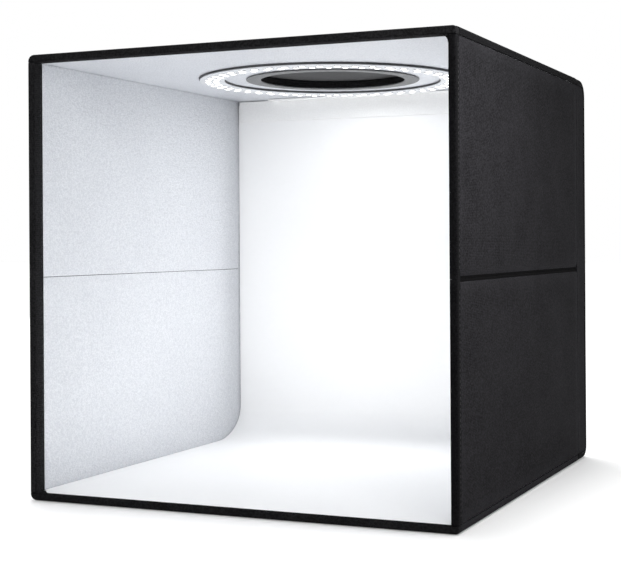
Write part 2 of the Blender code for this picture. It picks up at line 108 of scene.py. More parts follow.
def seen_or_not(tree, seen, unseen):
    """Give one light where the camera sees a thing itself, in gloss or through glass, and another elsewhere."""
    path = add_node(tree, "LightPath")
    either = add_node(tree, "Math", path["Is Camera Ray"], path["Is Glossy Ray"], how="MAXIMUM")[0]
    factor = add_node(tree, "Math", either, path["Is Transmission Ray"], how="MAXIMUM")[0]
    return add_node(tree, "MixShader", factor, unseen, seen)[0]


def start_material(name):
    """Open a new material, and give its node tree too."""
    material = bpy.data.materials.new(name)
    material.use_nodes = True
    return material, material.node_tree


def fill_shader(tree, values):
    """Feed sockets of a material's shader by name."""
    for name, value in values.items():
        feed(tree, value, tree.nodes["Principled BSDF"].inputs[name])


room = bpy.data.worlds.new("soft_room")
room.use_nodes = True
bpy.context.scene.world = room
room_tree = room.node_tree
room_light = room_tree.nodes["Background"]
room_light.inputs["Color"].default_value = (0.97, 0.985, 1.0, 1.0)
room_light.inputs["Strength"].default_value = room_level
room_white = add_node(room_tree, "Background", (1.0, 1.0, 1.0, 1.0), 1.0)[0]
room_mix = seen_or_not(room_tree, room_white, room_light.outputs[0])
feed(room_tree, room_mix, room_tree.nodes["World Output"].inputs["Surface"])

floor_paint, floor_tree = start_material("pale_floor")
fill_shader(floor_tree, {"Base Color": (0.66, 0.66, 0.66, 1.0), "Roughness": 0.9, "Specular IOR Level": 0.1})
floor_glow, floor_dark = (add_node(floor_tree, "Emission", strength=level)[0] for level in (floor_lift, 0.0))
floor_face = floor_tree.nodes["Principled BSDF"].outputs[0]
floor_sum = add_node(floor_tree, "AddShader", floor_face, seen_or_not(floor_tree, floor_glow, floor_dark))[0]
feed(floor_tree, floor_sum, floor_tree.nodes["Material Output"].inputs["Surface"])
floor_mesh = bpy.data.meshes.new("floor")
floor_corners = [(floor_reach * a, floor_reach * b, 0) for a, b in ((-1, -1), (1, -1), (1, 1), (-1, 1))]
floor_mesh.from_pydata(floor_corners, [], [(0, 1, 2, 3)])
floor_mesh.materials.append(floor_paint)
floor = stand("floor", floor_mesh)
floor.location = (0, 0, -0.0004)


def soft_lamp(name, place, aim, size, power, spread=180, shape="SQUARE", colour=(1, 1, 1), body=None):
    """Hang an unseen soft lamp that points at a spot. One on a body isn't seen in gloss either."""
    data = bpy.data.lights.new(name, "AREA")
    data.shape, data.size, data.energy, data.color = shape, size, power, colour
    data.spread = math.radians(spread)
    lamp = stand(name, data)
    turn = (Vector(aim) - Vector(place)).to_track_quat("-Z", "Y").to_matrix().to_4x4()
    lamp.matrix_world = Matrix.Translation(place) @ turn
    lamp.visible_camera = False
    if body:
        lamp.visible_glossy = False
        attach(lamp, body)


soft_lamp("front_lamp", (0.82, -2.1, 0.75), (0, 0, 0.15), 1.2, 2.3)
soft_lamp("right_lamp", (0.37, -0.12, 0.37), (0.1525, -0.12, 0.24), 0.12, 0.28, spread=100)
soft_lamp("rear_lamp", (-1.3, 1.5, 1.0), (0, 0, 0.15), 1.0, 20.0)
soft_lamp("opening_lamp", (0.34, -0.42, 0.36), (-0.1525, -0.10, 0.09), 0.25, 0.245, spread=80)
overhead_data = bpy.data.lights.new("overhead_lamp", "SUN")
overhead_data.energy = 2.7
overhead_data.angle = math.radians(18)
overhead = stand("overhead_lamp", overhead_data)
overhead.rotation_euler = Vector((-0.06, 0.12, 1.0)).to_track_quat("Z", "Y").to_euler()


# Floor panel. A stiff board wrapped in black coated cloth, whose sides turn up round the board, with a silver
# lining on top. A black woven tape folded over its front edge is sewn down on the outside.
panel_thickness = 0.005
cloth_thickness = 0.0009
cloth_roll = 0.0007
half_width = 0.1525
half_depth = 0.1575
cube_height = 0.300
panel_gap = 0.0003
tape_outside = 0.006
tape_inside = 0.0095
tape_soft = 0.0013
edge_left_radius = 0.0044
edge_right_radius = 0.0021
panel_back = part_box("base_skin")[1].y
panel_front = -half_depth
skin_front = panel_front + tape_outside + panel_gap
lining_front = panel_front + tape_inside + panel_gap
lining_side = half_width - cloth_thickness - panel_gap
far_out = 0.05


def weave(tree, yarn):
    """Give the height of crossing yarns on any face of a piece, from under to over."""
    spot = add_node(tree, "TexCoord")["Object"]
    count = add_node(tree, "VectorMath", spot, how="SCALE", scale=math.pi / yarn)[0]
    wave = add_node(tree, "VectorMath", count, how="SINE")[0]
    apart = add_node(tree, "SeparateXYZ", wave)
    turned = add_node(tree, "CombineXYZ", apart["Y"], apart["Z"], apart["X"])[0]
    return add_node(tree, "VectorMath", wave, turned, how="DOT_PRODUCT")["Value"]


def grain(tree, scale, detail):
    """Give noise on the piece's own coordinates."""
    spot = add_node(tree, "TexCoord")["Object"]
    return add_node(tree, "TexNoise", vector=spot, scale=scale, detail=detail)["Fac"]


def joined(tree, how, *layers):
    """Stretch each value from one range to another, hold it there, and join them in one way."""
    values = [add_node(tree, "MapRange", *layer)["Result"] for layer in layers]
    found = values[0]
    for value in values[1:]:
        found = add_node(tree, "Math", found, value, how=how)[0]
    return found


def tinted(tree, value, low_colour, high_colour):
    """Turn a value from nought to one into a colour between two colours."""
    ramp = tree.nodes.new("ShaderNodeValToRGB")
    for stop, colour in zip(ramp.color_ramp.elements, (low_colour, high_colour)):
        stop.color = (*colour, 1)
    tree.links.new(value, ramp.inputs["Fac"])
    return ramp.outputs["Color"]


def raised(tree, height, depth, strength=1.0):
    """Raise the surface by a height value, over a real depth in metres."""
    return add_node(tree, "Bump", strength=strength, distance=depth, height=height)["Normal"]


def woven(name, low_colour, high_colour, yarn, relief, roughness, sheen, gloss=0.2):
    """Make woven cloth: crossing yarns, uneven slubs, cloudy dye and worn rims."""
    material, tree = start_material(name)
    yarns = weave(tree, yarn)
    slubs = grain(tree, 900.0, 2.0)
    clouds = grain(tree, 35.0, 3.0)
    wear = tree.nodes.new("ShaderNodeAttribute")
    wear.attribute_name = "rim"
    tone = joined(tree, "ADD", (yarns, -1.0, 1.5, 0.0, 0.30), (slubs, 0.36, 0.66, 0.0, 0.56),
                  (clouds, 0.3, 0.7, 0.0, 0.12), (wear.outputs["Fac"], 0.0, 1.0, 0.16, 0.0))
    height = joined(tree, "ADD", (yarns, -1.0, 1.5, 0.0, 0.6), (slubs, 0.3, 0.7, 0.0, 0.4))
    fill_shader(tree, {
        "Base Color": tinted(tree, tone, low_colour, high_colour),
        "Roughness": joined(tree, "ADD", (slubs, 0.3, 0.7, roughness - 0.08, roughness + 0.08)),
        "Sheen Weight": sheen, "Sheen Roughness": 0.5, "Specular IOR Level": gloss,
        "Normal": raised(tree, height, relief)})
    return material


def pebbled(name):
    """Make the silver lining: a bright film pressed with small round pebbles."""
    material, tree = start_material(name)
    spot = add_node(tree, "TexCoord")["Object"]
    pebbles = add_node(tree, "TexVoronoi", vector=spot, scale=850.0)["Distance"]
    dents = grain(tree, 340.0, 3.0)
    clouds = grain(tree, 22.0, 2.0)
    tone = joined(tree, "MULTIPLY", (pebbles, 0.0, 0.75, 1.0, 0.55), (dents, 0.35, 0.65, 0.75, 1.0),
                  (clouds, 0.3, 0.7, 0.92, 1.0))
    bumps = joined(tree, "ADD", (pebbles, 0.0, 0.8, 1.0, 0.0))
    height = add_node(tree, "Math", bumps, dents, how="ADD")[0]
    fill_shader(tree, {
        "Base Color": tinted(tree, tone, (0.412, 0.429, 0.469), (0.775, 0.788, 0.811)),
        "Roughness": joined(tree, "ADD", (dents, 0.3, 0.7, 0.34, 0.52)),
        "Metallic": 0.30, "Normal": raised(tree, height, 0.00030, 0.9)})
    return material


black_cloth = woven(
    "black_coated_cloth", (0.0014, 0.0013, 0.0016), (0.0315, 0.0305, 0.034), 0.0005, 0.00014, 0.85, 0.0, 0.03)
black_tape = woven(
    "black_woven_tape", (0.0006, 0.0006, 0.0008), (0.0240, 0.0236, 0.0250), 0.0007, 0.00016, 0.85, 0.0, 0.03)
tape_thread = woven("black_thread", (0.010, 0.010, 0.011), (0.050, 0.049, 0.052), 0.0003, 0.00005, 0.6, 0.1)
silver_lining = pebbled("silver_pebbled_lining")


def soften(mesh, flat_angle):
    """Shade a mesh smooth but for its sharp edges."""
    mesh.polygons.foreach_set("use_smooth", [True] * len(mesh.polygons))
    mesh.set_sharp_from_angle(angle=math.radians(flat_angle))


def finish_piece(name, vertices, faces, material, rim=None, flat_angle=38):
    """Make one closed piece from points and faces."""
    bm = bmesh.new()
    layer = bm.verts.layers.float.new("rim")
    corners = [bm.verts.new(point) for point in vertices]
    for corner, wear in zip(corners, rim or [1.0] * len(corners)):
        corner[layer] = wear
    for face in faces:
        bm.faces.new([corners[index] for index in face])
    bmesh.ops.remove_doubles(bm, verts=bm.verts, dist=0.000002)
    bmesh.ops.dissolve_degenerate(bm, edges=bm.edges, dist=0.000002)
    bmesh.ops.recalc_face_normals(bm, faces=bm.faces)
    mesh = bpy.data.meshes.new(name)
    bm.to_mesh(mesh)
    bm.free()
    soften(mesh, flat_angle)
    mesh.materials.append(material)
    return stand(name, mesh)


def stops(length, marks, roll, step):
    """Give places along a length: close at both rims, at every mark, and at most a step apart."""
    fine = [0.0, 0.12 * roll, 0.32 * roll, 0.62 * roll, roll]
    inner = [mark for mark in marks if roll < mark < length - roll]
    found = sorted(fine + [length - place for place in fine] + inner)
    filled = [found[0]]
    for place in found[1:]:
        start = filled[-1]
        if place - start < 0.000004:
            continue
        parts = max(1, math.ceil((place - start) / step))
        filled += [start + (place - start) * part / parts for part in range(1, parts + 1)]
    return filled


def walk(path, places=None):
    """Give points along a path in a plane, with outward directions to the right of travel."""
    points = np.array(path, float)
    legs = np.diff(points, axis=0)
    lengths = np.hypot(legs[:, 0], legs[:, 1])
    marks = np.concatenate([[0.0], np.cumsum(lengths)])
    outward = np.stack([legs[:, 1], -legs[:, 0]], axis=1) / lengths[:, None]
    at_points = np.vstack([outward[:1], outward[:-1] + outward[1:], outward[-1:]])
    at_points /= np.linalg.norm(at_points, axis=1)[:, None]
    found = []
    for place in marks if places is None else places:
        where = [np.interp(place, marks, points[:, axis]) for axis in (0, 1)]
        facing = np.array([np.interp(place, marks, at_points[:, axis]) for axis in (0, 1)])
        found.append((where, facing / np.linalg.norm(facing)))
    return marks, found


def cloth_over(name, path, low, high, place, material, thickness=cloth_thickness, pillow=0.0,
               ripple=0.00005, roll=cloth_roll, step=0.009, pillow_reach=0.035):
    """Lay cloth over a path in a plane, with rolled rims, a slight pillow and slow ripples."""
    marks = walk(path)[0]
    along = stops(marks[-1], marks[1:-1], roll, step)
    across = stops(high - low, [], roll, step)
    samples = walk(path, along)[1]
    vertices = []
    rim = []
    for side in (0, 1):
        for (where, facing), place_along in zip(samples, along):
            for place_across in across:
                edge = min(place_along, marks[-1] - place_along, place_across, high - low - place_across)
                lift = -thickness
                if not side:
                    near = max(0.0, 1 - edge / roll)
                    calm = min(1.0, edge / pillow_reach)
                    calm = calm * calm * (3 - 2 * calm)
                    spot = Vector((where[0], where[1], low + place_across)) * 30
                    lift = pillow * calm + ripple * noise.noise(spot) * min(1.0, edge / 0.012)
                    lift -= roll * (1 - math.sqrt(1 - near * near))
                a, b = (where[axis] + facing[axis] * lift for axis in (0, 1))
                vertices.append(place(a, b, low + place_across))
                rim.append(min(1.0, edge / 0.006))
    columns = len(across)
    grid = np.arange(len(along) * columns).reshape(-1, columns)
    back = grid.size
    faces = []
    for first in grid[:-1, :-1].flat:
        face = [first, first + 1, first + columns + 1, first + columns]
        faces += [face, [back + index for index in reversed(face)]]
    border = [*grid[0, :-1], *grid[:-1, -1], *grid[-1, :0:-1], *grid[:0:-1, 0]]
    for first, after in zip(border, border[1:] + border[:1]):
        faces.append([first, back + first, back + after, after])
    return finish_piece(name, vertices, faces, material, rim)


def corner_arc(centre, radius, start, end, steps=6):
    """Give points on an arc in a plane, by angles in degrees."""
    angles = [math.radians(start + (end - start) * step / steps) for step in range(steps + 1)]
    return [(centre[0] + radius * math.cos(angle), centre[1] + radius * math.sin(angle)) for angle in angles]


def on_section(flipped=False, side=1):
    """Place a section in X and Z along Y, upside down for the roof."""
    return lambda a, b, c: (side * a, c, cube_height - b if flipped else b)


def wrap_path(inset=0.0):
    """Give a panel's outside from its left upper edge, round under it, to the right one."""
    left, right = edge_left_radius - inset, edge_right_radius - inset
    side = half_width - inset
    return [(-side, panel_thickness), *corner_arc((-side + left, inset + left), left, 180, 270),
            *corner_arc((side - right, inset + right), right, 270, 360), (side, panel_thickness)]


def ring_faces(start, count, rings, hollow=False):
    """Give the faces of rings of points, one behind the other, with closed ends or in a closed loop."""
    last = start + (rings - 1) * count
    faces = [] if hollow else [list(range(start, start + count)), list(range(last + count - 1, last - 1, -1))]
    for ring in range(rings if hollow else rings - 1):
        here, there = start + ring * count, start + (ring + 1) % rings * count
        for point in range(count):
            after = (point + 1) % count
            faces.append([here + point, here + after, there + after, there + point])
    return faces


def solid_from(name, rings, material, hollow=False):
    """Make a solid of rings of points, one behind the other, or a hollow one whose rings close a loop."""
    vertices = [point for ring in rings for point in ring]
    return finish_piece(name, vertices, ring_faces(0, len(rings[0]), len(rings), hollow), material)


def stitch_line(name, seats, body, material=tape_thread, stitch=0.0023, gap=0.0010, width=0.00042):
    """Sew a row of stitches along a line of points, each with its outward direction."""
    points = [Vector(seat[0]) for seat in seats]
    facings = [Vector(seat[1]) for seat in seats]
    marks = [0.0]
    for first, second in zip(points, points[1:]):
        marks.append(marks[-1] + (second - first).length)
    count = int((marks[-1] - gap) / (stitch + gap))
    start = (marks[-1] - count * (stitch + gap) + gap) / 2
    shape = [(0.0, 0.30), (0.12, 0.72), (0.34, 1.0), (0.66, 1.0), (0.88, 0.72), (1.0, 0.30)]
    around = 6
    vertices = []
    faces = []
    for index in range(count):
        faces += ring_faces(len(vertices), around, len(shape))
        for share, girth in shape:
            place = start + index * (stitch + gap) + share * stitch
            leg = max(1, min(int(np.searchsorted(marks, place)), len(points) - 1))
            part = (place - marks[leg - 1]) / (marks[leg] - marks[leg - 1])
            spot = points[leg - 1].lerp(points[leg], part)
            up = facings[leg - 1].lerp(facings[leg], part).normalized()
            across = (points[leg] - points[leg - 1]).normalized().cross(up)
            dip = width * 0.34 * (1 - girth)
            for turn in range(around):
                angle = 2 * math.pi * turn / around
                offset = across * math.cos(angle) * width / 2 * girth
                offset += up * (math.sin(angle) * width / 3 * girth - dip)
                vertices.append(spot + offset)
    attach(finish_piece(name, vertices, faces, material), body)


def dress_node(node, material):
    """Give a frame node its finished material."""
    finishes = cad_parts[node].data.materials
    finishes.clear()
    finishes.append(material)


def fit_piece(piece, body, node=None):
    """Let a piece ride on a body, and hide the frame node it stands for, if one is given."""
    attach(piece, body)
    if node:
        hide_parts(node)
    return piece


def prism(outline, low, high):
    """Make an upright block that only cuts."""
    return solid_from("cutting_tool", [[(x, y, z) for x, y in outline] for z in (low, high)], black_tape)


def box_tool(low, high):
    """Make a box that only cuts."""
    return prism([(low[0], low[1]), (high[0], low[1]), (high[0], high[1]), (low[0], high[1])], low[2], high[2])


def cut_out(piece, tools):
    """Cut tools out of a piece for good."""
    for tool in tools:
        change = piece.modifiers.new("cut", "BOOLEAN")
        change.operation = "DIFFERENCE"
        change.solver = "EXACT"
        change.object = tool
    shape = piece.evaluated_get(bpy.context.evaluated_depsgraph_get())
    mesh = bpy.data.meshes.new_from_object(shape)
    piece.modifiers.clear()
    piece.data = mesh
    for tool in tools:
        bpy.data.objects.remove(tool)
    soften(mesh, 38)


def level_cloth(name, upside, body):
    """Wrap the black cloth round the outside of a floor or roof panel."""
    skin = cloth_over(name + "_cloth", wrap_path(), skin_front, panel_back, on_section(upside), black_cloth,
                      ripple=0.00008)
    return fit_piece(skin, body, name + "_skin")


def level_lining(name, upside, body):
    """Lay the silver lining on the inner face of a floor or roof panel."""
    path = [(lining_side, panel_thickness), (-lining_side, panel_thickness)]
    lining = cloth_over(name + "_silver", path, lining_front, panel_back, on_section(upside), silver_lining,
                        roll=0.0004, ripple=0.00004)
    return fit_piece(lining, body, name + "_lining")


def level_tape(name, upside, body):
    """Fold the tape over the front edge of a floor or roof panel."""
    place = on_section(upside)

    def ring_at(inset, y):
        outline = wrap_path(min(inset, edge_right_radius * 0.9))
        return [place(a, min(b, panel_thickness - inset), y) for a, b in outline]

    rings = [ring_at(tape_soft * (1 - math.sin(angle)), panel_front + tape_soft * (1 - math.cos(angle)))
             for angle in np.radians(np.linspace(0, 90, 8))]
    rings.append(ring_at(0.0, panel_front + tape_inside))
    tape = solid_from(name + "_binding", rings, black_tape)
    beyond = panel_front + 3 * tape_inside
    core_top = panel_thickness - cloth_thickness
    core = [(a, min(b, core_top)) for a, b in wrap_path(cloth_thickness)]
    core_rings = [[place(a, b, y) for a, b in core] for y in (panel_front + cloth_thickness, beyond)]
    tools = [solid_from("cutting_tool", core_rings, black_tape)]
    wide = half_width + far_out
    outer_half = sorted((place(0, -far_out, 0)[2], place(0, core_top, 0)[2]))
    whole = (-far_out, cube_height + far_out)
    for near, far, cut in (-wide, wide, outer_half), (-wide, -lining_side, whole), (lining_side, wide, whole):
        tools.append(box_tool((near, panel_front + tape_outside, cut[0]), (far, beyond, cut[1])))
    cut_out(tape, tools)
    fit_piece(tape, body, name + "_tape")


def level_stitches(name, upside, body):
    """Sew the tape on: one row on the outer face of the panel."""
    place = on_section(upside)
    side = half_width - 0.006
    up = (0, 0, 1 if upside else -1)
    seats = [(place(a, 0.0, panel_front + tape_outside - 0.0018), up) for a in (-side, side)]
    stitch_line(name + "_stitches", seats, body)


for lay in (level_cloth, level_lining, level_tape, level_stitches):
    lay("base", False, "base")
dress_node("base_board", black_cloth)


# Side walls. Each wall is two stiff boards, one above the other, in black cloth outside and silver lining
# inside. The cloth of both halves turns into a groove at mid height, where the wall folds, and tape binds the
# front edge.
wall_inner = half_width - panel_thickness
wall_low, groove_low = (corner.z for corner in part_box("right_lower_skin"))
groove_high, wall_high = (corner.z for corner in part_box("right_upper_skin"))
crease_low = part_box("right_lower_lining")[1].z
crease_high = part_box("right_upper_lining")[0].z
groove_floor = half_width - 0.0016
lip_rise = 0.0007
lip_depth = 0.0016
lip_low_height = 0.0014
lip_high_height = 0.0060
lining_lap = 0.0002
tape_gap = 0.0001
stitch_end = 0.003
sides = (("left", -1), ("right", 1))
# Painted shade: a darker copy of the black tape, for the right wall's front tape, the roof's long edge bindings
# and the tray's side bindings, so these read as in shade.
painted_shade_tape = woven(
    "black_tape_painted_shade", (0.0006, 0.0006, 0.0008), (0.0100, 0.0098, 0.0108), 0.0007, 0.00016, 0.85, 0.0, 0.03)
# Painted shade: a darker copy of the black cloth for the fold groove's floor and the fold strip, where the
# groove's shadow falls.
painted_shade_fold_cloth = woven(
    "black_fold_cloth_painted_shade", (0.0005, 0.0005, 0.0006), (0.0055, 0.0054, 0.0058), 0.0007, 0.00014, 0.9, 0.0, 0.02)


def wall_cloths(name, sign, lower):
    """Lay black cloth over half a wall and into its fold groove, and silver lining inside."""
    lip_height, seat = (lip_low_height, groove_low + lip_rise) if lower else (-lip_high_height, groove_high)
    lip = [(groove_floor + lip_depth * math.cos(turn), seat - lip_height * (1 - math.sin(turn)))
           for turn in np.radians(np.linspace(0, 90, 9))]
    path = [(half_width, wall_low)] + lip if lower else lip[::-1] + [(half_width, wall_high)]
    cloth = cloth_over(name + "_cloth", path, skin_front, panel_back, on_section(side=sign), black_cloth,
                       pillow=0.0005, ripple=0.00010)
    fit_piece(cloth, name, name + "_skin")
    low, high = (wall_low - lining_lap, crease_low) if lower else (crease_high, wall_high + lining_lap)
    lining = cloth_over(name + "_silver", [(wall_inner, high), (wall_inner, low)], lining_front, panel_back,
                        on_section(side=sign), silver_lining, pillow=0.0002, ripple=0.00008, roll=0.0003)
    fit_piece(lining, name, name + "_lining")


def wall_tape(name, sign, lower):
    """Fold the tape over the front edge of one half of a wall, and sew it on."""
    middle = (crease_low + crease_high) / 2
    low, high = (wall_low, middle - tape_gap / 2) if lower else (middle + tape_gap / 2, wall_high)
    inside, outside, soft_y = panel_front + tape_inside, panel_front + tape_outside, panel_front + tape_soft
    path = [(wall_inner, inside), *corner_arc((wall_inner + tape_soft, soft_y), tape_soft, 180, 270),
            *corner_arc((half_width - tape_soft, soft_y), tape_soft, 270, 360), (half_width, outside)]
    # Painted shade: the right wall's tape takes the darker copy of the black tape; the left wall keeps the
    # plain tape.
    tape = cloth_over(name + "_binding", path, low, high, lambda a, b, c: (sign * a, b, c),
                      painted_shade_tape if sign > 0 else black_tape, roll=0.0002, ripple=0.00006)
    fit_piece(tape, name, name + "_tape")
    top = groove_low - stitch_end if lower else high - stitch_end
    bottom = low + stitch_end if lower else groove_high + stitch_end
    rows = ((half_width, outside - 0.0016, sign), (wall_inner, inside - 0.0020, -sign))
    for number, (x, y, facing) in enumerate(rows):
        seats = [((sign * x, y, z), (facing, 0, 0)) for z in (bottom, top)]
        stitch_line(name + "_stitches_" + str(number), seats, name)


for wall_side, wall_sign in sides:
    strip_low, strip_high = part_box(wall_side + "_fold_strip")
    strip_faces = sorted((abs(strip_low.x), abs(strip_high.x)))
    cover_face = groove_floor + 0.0002
    # Painted shade: the cloth on the groove's floor is the darker fold cloth, standing in for the groove's
    # shadow.
    groove_cover = cloth_over(
        wall_side + "_groove_cloth", [(cover_face, crease_high + 0.0001), (cover_face, groove_high + 0.0004)],
        strip_low.y, panel_back, on_section(side=wall_sign), painted_shade_fold_cloth,
        thickness=0.0002, roll=0.0001, ripple=0.0, step=0.004)
    fit_piece(groove_cover, wall_side + "_upper")
    for wall_name, is_lower in ((wall_side + "_lower", True), (wall_side + "_upper", False)):
        wall_cloths(wall_name, wall_sign, is_lower)
        wall_tape(wall_name, wall_sign, is_lower)
        dress_node(wall_name + "_board", black_cloth)
    # Painted shade: the fold strip also takes the darker fold cloth.
    fold_strip = cloth_over(
        wall_side + "_fold_cloth", [(strip_faces[1], strip_low.z), (strip_faces[1], strip_high.z)],
        strip_low.y, strip_high.y, on_section(side=wall_sign), painted_shade_fold_cloth,
        thickness=strip_faces[1] - strip_faces[0], roll=0.0004, ripple=0.00003, step=0.004)
    fit_piece(fold_strip, wall_side + "_lower", wall_side + "_fold_strip")


# Roof panel. It is made as the floor panel is, with a round hole for the camera port, a small one for the
# grommet, and places cut in its cloth for the hook pads and the rear hinge tape. Tape binds its long edges, in
# the darker tape copy that paints shade on them.
port_low, port_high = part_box("port_sleeve")
port_middle = ((port_low + port_high) / 2)[:2]
port_flange = (port_high.x - port_low.x) / 2
port_radius = 0.054
grommet_low, grommet_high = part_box("cable_grommet")
grommet_middle = ((grommet_low + grommet_high) / 2)[:2]
grommet_hole = 0.0037 + panel_gap
binding_proud = 0.0003


def circle(centre, radius, steps):
    """Give the points of a whole circle, each once."""
    return corner_arc(centre, radius, 0, 360 - 360 / steps, steps - 1)


def round_tool(centre, radius, steps=144):
    """Make a round punch through the roof that only cuts."""
    return prism(circle(centre, radius, steps), cube_height - 0.01, cube_height + 0.01)


roof_cloth = level_cloth("top", True, "roof")
roof_tools = [round_tool(port_middle, port_flange + panel_gap), round_tool(grommet_middle, grommet_hole, 48)]
pad_rooms = {"flap_hook_front": panel_gap, "flap_hook_back": panel_gap, "rear_hinge_tape": 0.003}
for pad_name, pad_room in pad_rooms.items():
    pad_low, pad_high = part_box(pad_name)
    roof_tools.append(box_tool((pad_low.x - panel_gap, pad_low.y - panel_gap, cube_height - 0.0014),
                               (pad_high.x + panel_gap, pad_high.y + pad_room, cube_height + 0.003)))
cut_out(roof_cloth, roof_tools)
cut_out(level_lining("top", True, "roof"),
        [round_tool(port_middle, port_radius + cloth_thickness + panel_gap),
         round_tool(grommet_middle, grommet_hole, 48)])
level_tape("top", True, "roof")
for binding_name, binding_side in sides:
    edge_radius = edge_left_radius if binding_side < 0 else edge_right_radius
    edge_arc = corner_arc((half_width - edge_radius, edge_radius), edge_radius, -90, 0)
    edge_path = [(half_width - 0.0070, 0.0), *edge_arc, (half_width, panel_thickness - 0.0001)]
    proud_path = [(where[0] + facing[0] * binding_proud, where[1] + facing[1] * binding_proud)
                  for where, facing in walk(edge_path)[1]]
    # Painted shade: the edge binding takes the darker copy of the black tape, so the rounded long edge reads as
    # shaded.
    edge_binding = cloth_over(
        "roof_binding_" + binding_name, proud_path, skin_front, panel_back, on_section(True, binding_side),
        painted_shade_tape, thickness=binding_proud, roll=0.0003, ripple=0.00003)
    fit_piece(edge_binding, "roof")
    binding_seats = [((binding_side * (half_width - 0.0060), y, cube_height + binding_proud), (0, 0, 1))
                     for y in (skin_front + 0.003, panel_back - 0.003)]
    stitch_line("roof_binding_stitches_" + binding_name, binding_seats, "roof")
level_stitches("top", True, "roof")
dress_node("top_board", black_cloth)


# Corner folds. The opening's right upper and left lower corners are rounded by a small fold of tape. On the
# real cube it flattens as the walls fold; here it is a stiff piece riding on the roof or floor.
corner_side = half_width - panel_thickness - panel_gap / 3
corner_seat = panel_thickness + panel_gap / 3
corner_depth = 0.0038
corner_radii = {"top": 0.0052, "base": 0.0048}
for corner_name, corner_body, corner_sign in (("top", "roof", 1), ("base", "base", -1)):
    place_corner = on_section(corner_name == "top", corner_sign)
    corner_rings = []
    for depth, share in ((0.0004, 0.80), (0.0007, 0.93), (0.0013, 1.0), (corner_depth - 0.0010, 1.0),
                         (corner_depth - 0.0003, 0.93), (corner_depth, 0.80)):
        fold_radius = corner_radii[corner_name] * share
        fold_middle = (corner_side - fold_radius, corner_seat + fold_radius)
        fold_outline = [(corner_side, corner_seat), *corner_arc(fold_middle, fold_radius, -90, 0, 9)]
        corner_rings.append([place_corner(a, b, panel_front + depth) for a, b in fold_outline])
    corner_fold = solid_from("opening_corner_" + corner_name, corner_rings, black_tape)
    fit_piece(corner_fold, corner_body)
    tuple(place_corner(0, panel_thickness, 0))
    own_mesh(corner_fold)


# Camera port. A grey binding rings the hole on the ceiling, sewn down near its outer edge, and a black sleeve
# lines the hole and lies flat in the roof cloth outside.
grey_binding = woven("grey_binding", (0.029, 0.031, 0.033), (0.098, 0.101, 0.104), 0.0008, 0.00012, 0.6, 0.3)
grey_thread = woven("grey_thread", (0.12, 0.12, 0.125), (0.32, 0.32, 0.33), 0.0003, 0.00005, 0.6, 0.2)


def stacked(ring_of, profile):
    """Give flat rings from pairs of an offset and a height."""
    return [[(x, y, height) for x, y in ring_of(offset)] for offset, height in profile]


def flat_profile(inner, outer, low, high, soft, dome=0.0):
    """Give a flat band's profile between two radii, with soft corners and a slight crown below."""
    wide = outer - inner
    crown = [(inner + wide * share, low - dome * (1 - abs(share - 0.5))) for share in (0.3, 0.5, 0.7)]
    return [*corner_arc((inner + soft, high - soft), soft, 90, 180, 4),
            *corner_arc((inner + soft, low + soft), soft, 180, 270, 4), *crown,
            *corner_arc((outer - soft, low + soft), soft, 270, 360, 4),
            *corner_arc((outer - soft, high - soft), soft, 0, 90, 4)]


def port_band(name, node, profile, material):
    """Make a band that goes round the port."""
    rings = stacked(lambda radius: circle(port_middle, radius, 192), profile)
    fit_piece(solid_from(name, rings, material, hollow=True), "roof", node)


rim_low, rim_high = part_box("port_rim")
rim_outer = (rim_high.x - rim_low.x) / 2
port_band("port_binding", "port_rim",
          flat_profile(port_radius, rim_outer, rim_low.z, rim_high.z, 0.0003, 0.0002), grey_binding)
rim_line = corner_arc(port_middle, rim_outer - 0.0022, 0, 360, 240)
rim_seats = [((x, y, rim_low.z - 0.00005), (0, 0, -1)) for x, y in rim_line]
stitch_line("port_binding_stitches", rim_seats, "roof", grey_thread)

sleeve_outer = port_radius + cloth_thickness
flange_low = cube_height - cloth_thickness
sleeve_soft = 0.0005
port_band("port_sleeve_cloth", "port_sleeve",
          [(port_radius, port_low.z), (sleeve_outer, port_low.z), (sleeve_outer, flange_low),
           (port_flange - 0.0003, flange_low), (port_flange, flange_low + 0.0003),
           (port_flange - 0.0004, cube_height),
           *corner_arc((port_radius + sleeve_soft, cube_height - sleeve_soft), sleeve_soft, 90, 180, 4),
           *[(port_radius, cube_height - depth) for depth in (0.0015, 0.0025, 0.0035)]], black_tape)


# Lamp ring. A thin metal ring, coloured dark all over so that its edges show as dark lines, holds a white board
# with two staggered rows of bright chips, each soldered down at both ends. A soft lamp in the same place
# carries their light into the cube.
carrier_low, carrier_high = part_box("led_carrier")
board_low, board_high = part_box("led_board")
ring_inner = 0.0805
ring_outer = (carrier_high.x - carrier_low.x) / 2
board_margin = 0.0006
board_inner = ring_inner + board_margin
board_outer = ring_outer - board_margin
chips_in_row = 48
chip_reach = (0.0020, 0.00225)
chip_bottom = board_low.z
board_face = chip_bottom + 0.0005
row_inset = 0.0040 + chip_reach[1]
solder_offset = 0.00235


def smooth_finish(name, low_colour, high_colour, size, roughness, metallic=0.0, relief=0.00002, glow=0.0):
    """Make a moulded, painted or rolled finish with fine grain and faint clouds."""
    material, tree = start_material(name)
    fine = grain(tree, size, 3.0)
    clouds = grain(tree, size / 18, 2.0)
    tone = joined(tree, "ADD", (fine, 0.3, 0.7, 0.0, 0.5), (clouds, 0.3, 0.7, 0.0, 0.5))
    fill_shader(tree, {
        "Base Color": tinted(tree, tone, low_colour, high_colour),
        "Roughness": joined(tree, "ADD", (fine, 0.3, 0.7, roughness - 0.06, roughness + 0.06)),
        "Metallic": metallic, "Emission Color": (1.0, 1.0, 1.0, 1.0), "Emission Strength": glow,
        "Normal": raised(tree, fine, relief)})
    return material


